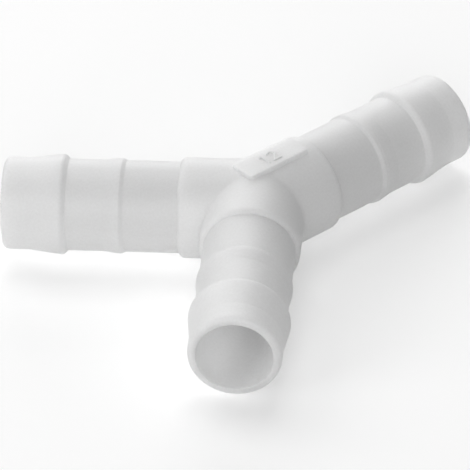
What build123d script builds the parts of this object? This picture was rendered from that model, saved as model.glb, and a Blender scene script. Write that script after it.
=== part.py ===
from build123d import *
import math
import os

# Moulded Y connector for tubing of 12 mm bore: a stem and two branches, each a barbed hose tail.
#
# Frame: the three waterway axes meet at the origin and lie in the plane Z = 0.
# The stem runs along +X. The branches run back from it, 135 degrees to either side,
# so they stand at a right angle to each other. The size pad faces +Z.
# Every leg has the same profile, given as distance along the leg from the origin and
# radius from the leg's axis. All sizes are in millimetres and all angles in degrees.

# Leg lengths and directions
LEG_LENGTH = 32.9
STEM_ANGLE = 0.0
LEFT_BRANCH_ANGLE = 135.0
RIGHT_BRANCH_ANGLE = -135.0

# Waterway and plain barrel, matched to tubing of 12 mm bore
BORE_RADIUS = 4.95
BARREL_RADIUS = 6.0

# Collar: the thick root of each leg, whose rounded end stops the tubing
COLLAR_RADIUS = 6.6
COLLAR_LENGTH = 9.75
COLLAR_END_RUN = 0.8

# Inner barb: a low ring near the collar
INNER_BARB_BACK = 16.9
INNER_BARB_CREST = 17.4
INNER_BARB_CREST_END = 17.9
INNER_BARB_FOOT = 19.7
INNER_BARB_RADIUS = 6.26

# Outer barb: the gripping barb, with a long lead-in cone
OUTER_BARB_BACK = 24.4
OUTER_BARB_CREST = 25.0
OUTER_BARB_CREST_END = 25.3
OUTER_BARB_FOOT = 29.5
OUTER_BARB_RADIUS = 6.58
OUTER_BARB_CHAMFER = 0.15

# Land and rounded rim at the tip of each leg
TIP_RADIUS = 6.05
TIP_ROUND = 0.7

# How many flat bands stand for a round
ROUND_BANDS = 4

# Blends in the creases between the collars
BRANCH_CROTCH_ROUND = 0.3
STEM_CREASE_ROUND = 1.0

# Flat pad for the size mark, moulded on top of the stem's root
PAD_START = -2.2
PAD_END = 7.7
PAD_WIDTH = 3.9
PAD_TOP = 7.05
PAD_ROOT = 6.0
PAD_CORNER_ROUND = 0.4
PAD_EDGE_CHAMFER = 0.1


def rounded_end(end, radius, run, drop):
    """Points of a quarter round, run long and drop deep, from along the leg to across it."""
    turns = [math.radians(90 * step / ROUND_BANDS) for step in range(ROUND_BANDS + 1)]
    return [
        (end - run + run * math.sin(turn), radius - drop + drop * math.cos(turn)) for turn in turns
    ]


def leg_section():
    """The leg's half section in XY: X runs along the leg, Y is the radius."""
    outline = Polyline(
        (0, 0),
        (0, COLLAR_RADIUS),
        *rounded_end(COLLAR_LENGTH, COLLAR_RADIUS, COLLAR_END_RUN, COLLAR_RADIUS - BARREL_RADIUS),
        (INNER_BARB_BACK, BARREL_RADIUS),
        (INNER_BARB_CREST, INNER_BARB_RADIUS),
        (INNER_BARB_CREST_END, INNER_BARB_RADIUS),
        (INNER_BARB_FOOT, BARREL_RADIUS),
        (OUTER_BARB_BACK, BARREL_RADIUS),
        (OUTER_BARB_CREST, OUTER_BARB_RADIUS),
        (OUTER_BARB_CREST_END, OUTER_BARB_RADIUS),
        (OUTER_BARB_FOOT, TIP_RADIUS),
        *rounded_end(LEG_LENGTH, TIP_RADIUS, TIP_ROUND, TIP_ROUND),
        (LEG_LENGTH, 0),
        close=True,
    )
    section = make_face(outline)
    crest = section.vertices().sort_by_distance((OUTER_BARB_CREST, OUTER_BARB_RADIUS))[0]
    return chamfer(crest, OUTER_BARB_CHAMFER)


def leg(angle):
    """A solid leg from the origin out to its tip, turned to its direction."""
    return Rot(Z=angle) * revolve(leg_section(), Axis.X, 360)


def waterway(angle):
    """The straight bore of one leg, from the origin out through the tip."""
    run = Plane((0, 0, 0), z_dir=(1, 0, 0)) * Cylinder(
        BORE_RADIUS, LEG_LENGTH, align=(Align.CENTER, Align.CENTER, Align.MIN)
    )
    return Rot(Z=angle) * run


def crease_edges(shape, side):
    """The curved creases where collars meet: side is -1 behind the origin, 1 ahead of it."""
    creases = shape.edges().filter_by(GeomType.ELLIPSE)
    return creases.filter_by(lambda edge: side * edge.center(CenterOf.MASS).X > 0)


def outer_form():
    """The three legs joined in one solid, with the creases at the hub blended."""
    form = leg(STEM_ANGLE) + leg(LEFT_BRANCH_ANGLE) + leg(RIGHT_BRANCH_ANGLE)
    form = fillet(crease_edges(form, 1), STEM_CREASE_ROUND)
    form = fillet(crease_edges(form, -1), BRANCH_CROTCH_ROUND)
    return form


def size_pad():
    """A flat-topped block, rooted inside the collar's wall."""
    block = Pos(PAD_START, 0, PAD_ROOT) * Box(
        PAD_END - PAD_START,
        PAD_WIDTH,
        PAD_TOP - PAD_ROOT,
        align=(Align.MIN, Align.CENTER, Align.MIN),
    )
    block = fillet(block.edges().filter_by(Axis.Z), PAD_CORNER_ROUND)
    return chamfer(block.faces().sort_by(Axis.Z)[-1].edges(), PAD_EDGE_CHAMFER)


def y_connector():
    """The whole moulding: outer form and pad, with the three bores meeting at the hub."""
    waterways = waterway(STEM_ANGLE) + waterway(LEFT_BRANCH_ANGLE) + waterway(RIGHT_BRANCH_ANGLE)
    return outer_form() + size_pad() - waterways


os.makedirs("parts", exist_ok=True)
export_step(y_connector(), "parts/y_connector_body.step")
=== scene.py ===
import bmesh
import bpy
import math
from mathutils import Matrix, Vector


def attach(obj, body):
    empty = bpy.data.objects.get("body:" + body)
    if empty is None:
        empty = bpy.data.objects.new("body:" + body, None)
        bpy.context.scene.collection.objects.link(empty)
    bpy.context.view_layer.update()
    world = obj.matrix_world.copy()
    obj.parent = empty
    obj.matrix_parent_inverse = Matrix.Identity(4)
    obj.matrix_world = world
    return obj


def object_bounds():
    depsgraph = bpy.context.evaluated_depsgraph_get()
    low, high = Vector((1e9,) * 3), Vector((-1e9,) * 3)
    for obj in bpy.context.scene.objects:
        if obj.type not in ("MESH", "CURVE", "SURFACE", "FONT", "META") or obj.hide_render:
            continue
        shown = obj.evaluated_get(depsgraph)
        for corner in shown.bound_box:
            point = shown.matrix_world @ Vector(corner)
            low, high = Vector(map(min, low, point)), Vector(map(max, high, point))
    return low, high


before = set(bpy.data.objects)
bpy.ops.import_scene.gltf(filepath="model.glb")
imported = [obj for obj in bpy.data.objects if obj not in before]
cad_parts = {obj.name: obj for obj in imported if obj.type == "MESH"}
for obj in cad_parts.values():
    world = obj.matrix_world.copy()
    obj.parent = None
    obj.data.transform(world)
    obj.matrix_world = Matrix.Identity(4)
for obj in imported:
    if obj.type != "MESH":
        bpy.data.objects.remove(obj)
cad_low, cad_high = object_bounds()

MM = 0.001

# Raised size number on the pad: strokes by their middle lines, in mm along and across the pad,
# and the bowl of the 2 by its turn in degrees
PAD_TOP = 7.05 * MM
STROKE_WIDTH = 0.32 * MM
STROKE_HEIGHT = 0.12 * MM
STROKE_SIDES = 16
STROKE_END_RINGS = 5
ONE_FOOT = (1.86, -1.0)
ONE_HEAD = (1.78, 0.95)
ONE_FLAG = (1.4, 0.58)
TWO_BOWL_MIDDLE = (3.25, 0.42)
TWO_BOWL_RADIUS = 0.52
TWO_BOWL_TURN = (155, -45)
TWO_BOWL_STEP = 10
TWO_CORNER = (2.68, -0.95)
TWO_BASE_END = (3.78, -0.95)

# How far light goes into the milky plastic
MILK_DEPTH = 4.5 * MM

# Spark-eroded grain, finer than this on a real moulding, drawn as coarse as it needs to show
GRAIN_SIZE = 0.35 * MM
GRAIN_DEPTH = 0.02 * MM
EDGE_ROUND = 0.2 * MM

# Camera: where it stands round the hub, and where the hub's centre falls in the 470 pixel frame
CAMERA_AZIMUTH = -39.28
CAMERA_ELEVATION = 34.71
CAMERA_ROLL = -1.63
CAMERA_DISTANCE = 744.9 * MM
CAMERA_NEAREST = 10 * MM
CAMERA_FARTHEST = 20.0
SENSOR_WIDTH = 36.0
FRAME_PIXELS = 470
FOCAL_PIXELS = 5704.2
HUB_PIXEL = (255.36, 209.46)

# Floor of white paper, in metres across, and the light that its face adds where it is seen
FLOOR_SIZE = 6.0
PAPER_GLOW = 0.35

# Light that the room itself gives, next to the softboxes
ROOM_LIGHT = 0.03

# Softboxes: azimuth and elevation from the hub in degrees, width in metres, power in watts
SOFTBOX_DISTANCE = 0.9
SOFTBOXES = {
    "front_softbox": (-40, 28, 0.6, 3.1),
    "left_softbox": (-105, 20, 0.5, 2.0),
    "back_left_softbox": (-175, 40, 0.5, 1.8),
    "low_back_softbox": (140, 18, 0.5, 2.4),
    "high_back_softbox": (140, 65, 0.5, 1.8),
}

# Light passes many times between the white walls of the bore before it comes out again
WALL_BOUNCES = 16


def linear(colour):
    """An sRGB hex colour as the linear RGBA that Blender's sockets take."""
    channels = [int(colour[i : i + 2], 16) / 255 for i in (1, 3, 5)]
    return [c / 12.92 if c <= 0.04045 else ((c + 0.055) / 1.055) ** 2.4 for c in channels] + [1.0]


def add_node(material, kind, inputs=None, **settings):
    """Adds a node: settings are its properties, inputs are values or the sockets it links from."""
    tree = material.node_tree
    node = tree.nodes.new(kind)
    for name, value in settings.items():
        setattr(node, name, value)
    for name, value in (inputs or {}).items():
        if isinstance(value, bpy.types.NodeSocket):
            tree.links.new(value, node.inputs[name])
        else:
            node.inputs[name].default_value = value
    return node


def new_material(name):
    """An empty node material."""
    material = bpy.data.materials.new(name)
    material.use_nodes = True
    material.node_tree.nodes.clear()
    return material


def moulded_acetal(name, dull, bright, see_through):
    """Natural acetal, injection moulded in a spark-eroded tool.

    The milky plastic looks softly lit from inside and has no hard shading. The grain of the
    tool takes off the gloss and leaves a faint mottle, and every moulded edge is a little round.
    """
    material = new_material(name)
    place = add_node(material, "ShaderNodeTexCoord")
    grain = add_node(
        material,
        "ShaderNodeTexNoise",
        {"Vector": place.outputs["Object"], "Scale": 1 / GRAIN_SIZE, "Detail": 2.0, "Roughness": 0.6},
    )
    spread = add_node(
        material,
        "ShaderNodeMapRange",
        {"Value": grain.outputs["Fac"], "From Min": 0.3, "From Max": 0.7},
    )
    milk = add_node(
        material,
        "ShaderNodeMixRGB",
        {"Fac": spread.outputs["Result"], "Color1": linear(dull), "Color2": linear(bright)},
    )
    edge = add_node(material, "ShaderNodeBevel", {"Radius": EDGE_ROUND}, samples=4)
    bump = add_node(
        material,
        "ShaderNodeBump",
        {
            "Height": grain.outputs["Fac"],
            "Normal": edge.outputs["Normal"],
            "Strength": 0.5,
            "Distance": GRAIN_DEPTH,
        },
    )
    plastic = add_node(
        material,
        "ShaderNodeBsdfPrincipled",
        {
            "Base Color": milk.outputs["Color"],
            "Roughness": 0.5,
            "IOR": 1.48,
            "Specular IOR Level": 0.9,
            "Subsurface Weight": see_through,
            "Subsurface Radius": (1.0, 1.0, 1.0),
            "Subsurface Scale": MILK_DEPTH,
            "Normal": bump.outputs["Normal"],
        },
        subsurface_method="RANDOM_WALK",
    )
    add_node(material, "ShaderNodeOutputMaterial", {"Surface": plastic.outputs["BSDF"]})
    return material


def seen_ray(material):
    """1 for rays that look at the set, also by way of metal or glass, and 0 for those that light it."""
    ray = add_node(material, "ShaderNodeLightPath")
    seen = ray.outputs["Is Camera Ray"]
    for also in ("Is Glossy Ray", "Is Transmission Ray"):
        either = add_node(
            material,
            "ShaderNodeMath",
            {0: seen, 1: ray.outputs[also]},
            operation="MAXIMUM",
        )
        seen = either.outputs["Value"]
    return seen


def white_paper():
    """Matt white paper sweep: seen nearly white, with a pale shadow, and it throws light back up."""
    material = new_material("white_paper_matt")
    paper = add_node(material, "ShaderNodeBsdfDiffuse", {"Color": linear("#F4F4F4")})
    glow = add_node(
        material,
        "ShaderNodeEmission",
        {"Color": linear("#FFFFFF"), "Strength": PAPER_GLOW},
    )
    lit = add_node(
        material,
        "ShaderNodeAddShader",
        {0: paper.outputs["BSDF"], 1: glow.outputs["Emission"]},
    )
    face = add_node(
        material,
        "ShaderNodeMixShader",
        {"Fac": seen_ray(material), 1: paper.outputs["BSDF"], 2: lit.outputs["Shader"]},
    )
    add_node(material, "ShaderNodeOutputMaterial", {"Surface": face.outputs["Shader"]})
    return material


def pale_room():
    """A pale room round the set: white where it is seen, and next to no light on the object."""
    room = bpy.data.worlds.new("pale_room")
    room.use_nodes = True
    room.node_tree.nodes.clear()
    strength = add_node(
        room,
        "ShaderNodeMapRange",
        {"Value": seen_ray(room), "To Min": ROOM_LIGHT, "To Max": 1.0},
    )
    walls = add_node(
        room,
        "ShaderNodeBackground",
        {"Color": linear("#FFFFFF"), "Strength": strength.outputs["Result"]},
    )
    add_node(room, "ShaderNodeOutputWorld", {"Surface": walls.outputs["Background"]})
    return room


def bead_rings(path):
    """Middle, heading and scale of each ring along a bead whose two ends are rounded off."""
    reach = STROKE_WIDTH / 2
    first = (path[1] - path[0]).normalized()
    last = (path[-1] - path[-2]).normalized()
    turns = [math.radians(90 * ring / STROKE_END_RINGS) for ring in range(1, STROKE_END_RINGS)]
    rings = []
    for turn in turns:
        rings.append((path[0] - first * reach * math.cos(turn), first, math.sin(turn)))
    for before, here, after in zip([path[0]] + path, path, path[1:] + [path[-1]]):
        rings.append((here, (after - before).normalized(), 1.0))
    for turn in reversed(turns):
        rings.append((path[-1] + last * reach * math.cos(turn), last, math.sin(turn)))
    return rings


def raised_stroke(name, path):
    """A stroke as a ball-nosed cutter sinks it in the tool: a rounded bead, half buried in the pad."""
    path = [Vector((x, y, 0)) * MM + Vector((0, 0, PAD_TOP)) for x, y in path]
    angles = [math.tau * step / STROKE_SIDES for step in range(STROKE_SIDES)]
    shape = bmesh.new()
    rings = []
    for middle, heading, scale in bead_rings(path):
        side = Vector((-heading.y, heading.x, 0)) * STROKE_WIDTH / 2 * scale
        rise = Vector((0, 0, STROKE_HEIGHT * scale))
        points = [middle + side * math.cos(angle) + rise * math.sin(angle) for angle in angles]
        rings.append([shape.verts.new(point) for point in points])
    for ring, next_ring in zip(rings, rings[1:]):
        for step in range(STROKE_SIDES):
            after = (step + 1) % STROKE_SIDES
            shape.faces.new((ring[step], ring[after], next_ring[after], next_ring[step]))
    shape.faces.new(rings[0])
    shape.faces.new(rings[-1])
    bmesh.ops.recalc_face_normals(shape, faces=shape.faces)
    mesh = bpy.data.meshes.new(name)
    shape.to_mesh(mesh)
    shape.free()
    stroke = bpy.data.objects.new(name, mesh)
    bpy.context.scene.collection.objects.link(stroke)
    return stroke


def unite(piece, other):
    """Joins another shape into piece as one skin, with nothing left inside."""
    join = piece.modifiers.new("join", "BOOLEAN")
    join.operation = "UNION"
    join.solver = "EXACT"
    join.object = other
    with bpy.context.temp_override(object=piece):
        bpy.ops.object.modifier_apply(modifier=join.name)
    bpy.data.objects.remove(other)
    return piece


def size_number():
    """The number 12, for tubing of 12 mm bore: each stroke is a bead, and the beads are one skin."""
    middle_along, middle_across = TWO_BOWL_MIDDLE
    start, end = TWO_BOWL_TURN
    bowl = []
    for angle in range(start, end - 1, -TWO_BOWL_STEP):
        turn = math.radians(angle)
        along = middle_along + TWO_BOWL_RADIUS * math.cos(turn)
        across = middle_across + TWO_BOWL_RADIUS * math.sin(turn)
        bowl.append((along, across))
    one = raised_stroke("size_number_12", [ONE_HEAD, ONE_FOOT])
    unite(one, raised_stroke("flag", [ONE_FLAG, ONE_HEAD]))
    two = raised_stroke("two", bowl + [TWO_CORNER])
    unite(two, raised_stroke("base", [TWO_CORNER, TWO_BASE_END]))
    return unite(one, two)


def from_hub(azimuth, elevation):
    """The direction from the hub out to where a camera or a lamp stands, for angles in degrees."""
    azimuth, elevation = math.radians(azimuth), math.radians(elevation)
    level = math.cos(elevation)
    return Vector((math.sin(azimuth) * level, -math.cos(azimuth) * level, math.sin(elevation)))


def make_camera():
    """A long lens on a tripod, aimed so that the hub falls at its place in the frame."""
    azimuth, roll = math.radians(CAMERA_AZIMUTH), math.radians(CAMERA_ROLL)
    back = from_hub(CAMERA_AZIMUTH, CAMERA_ELEVATION)
    level = Vector((math.cos(azimuth), math.sin(azimuth), 0))
    upright = back.cross(level)
    right = math.cos(roll) * level + math.sin(roll) * upright
    up = math.cos(roll) * upright - math.sin(roll) * level
    pixel = CAMERA_DISTANCE / FOCAL_PIXELS
    aside = (HUB_PIXEL[0] - FRAME_PIXELS / 2) * pixel
    below = (HUB_PIXEL[1] - FRAME_PIXELS / 2) * pixel
    data = bpy.data.cameras.new("camera")
    data.sensor_width = SENSOR_WIDTH
    data.lens = SENSOR_WIDTH * FOCAL_PIXELS / FRAME_PIXELS
    data.clip_start = CAMERA_NEAREST
    data.clip_end = CAMERA_FARTHEST
    camera = bpy.data.objects.new("camera", data)
    stand = Matrix.Translation(back * CAMERA_DISTANCE - right * aside + up * below)
    camera.matrix_world = stand @ Matrix((right, up, back)).transposed().to_4x4()
    bpy.context.scene.collection.objects.link(camera)
    bpy.context.scene.camera = camera


def add_softbox(name, azimuth, elevation, size, power):
    """A square soft light that looks at the hub."""
    data = bpy.data.lights.new(name, "AREA")
    data.shape = "SQUARE"
    data.size = size
    data.energy = power
    lamp = bpy.data.objects.new(name, data)
    back = from_hub(azimuth, elevation)
    lamp.location = back * SOFTBOX_DISTANCE
    lamp.rotation_mode = "QUATERNION"
    lamp.rotation_quaternion = (-back).to_track_quat("-Z", "Y")
    bpy.context.scene.collection.objects.link(lamp)


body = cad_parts["y_connector_body"]
body.material_slots[0].material = moulded_acetal("natural_acetal_moulded", "#F9F9F9", "#FFFFFF", 1.0)

# The number's beads are a thin skin of their own. Light spread inside them is lost and renders dark, so
# on them it stays at the surface.
# Their slightly duller white is painted shade: it stands in for the light that the milky body loses
# inside itself, so that the beads match it
number = size_number()
number.data.materials.append(moulded_acetal("natural_acetal_thin_bead_painted_shade", "#F3F3F3", "#F8F8F8", 0.0))
number.data.shade_smooth()
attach(number, "root")

bpy.ops.mesh.primitive_plane_add(size=FLOOR_SIZE, location=(0, 0, cad_low.z))
floor = bpy.context.object
floor.name = "floor"
floor.data.materials.append(white_paper())

scene = bpy.context.scene
scene.world = pale_room()
for name, setting in SOFTBOXES.items():
    add_softbox(name, *setting)
make_camera()
scene.view_settings.view_transform = "Standard"
scene.cycles.diffuse_bounces = WALL_BOUNCES
scene.cycles.max_bounces = WALL_BOUNCES
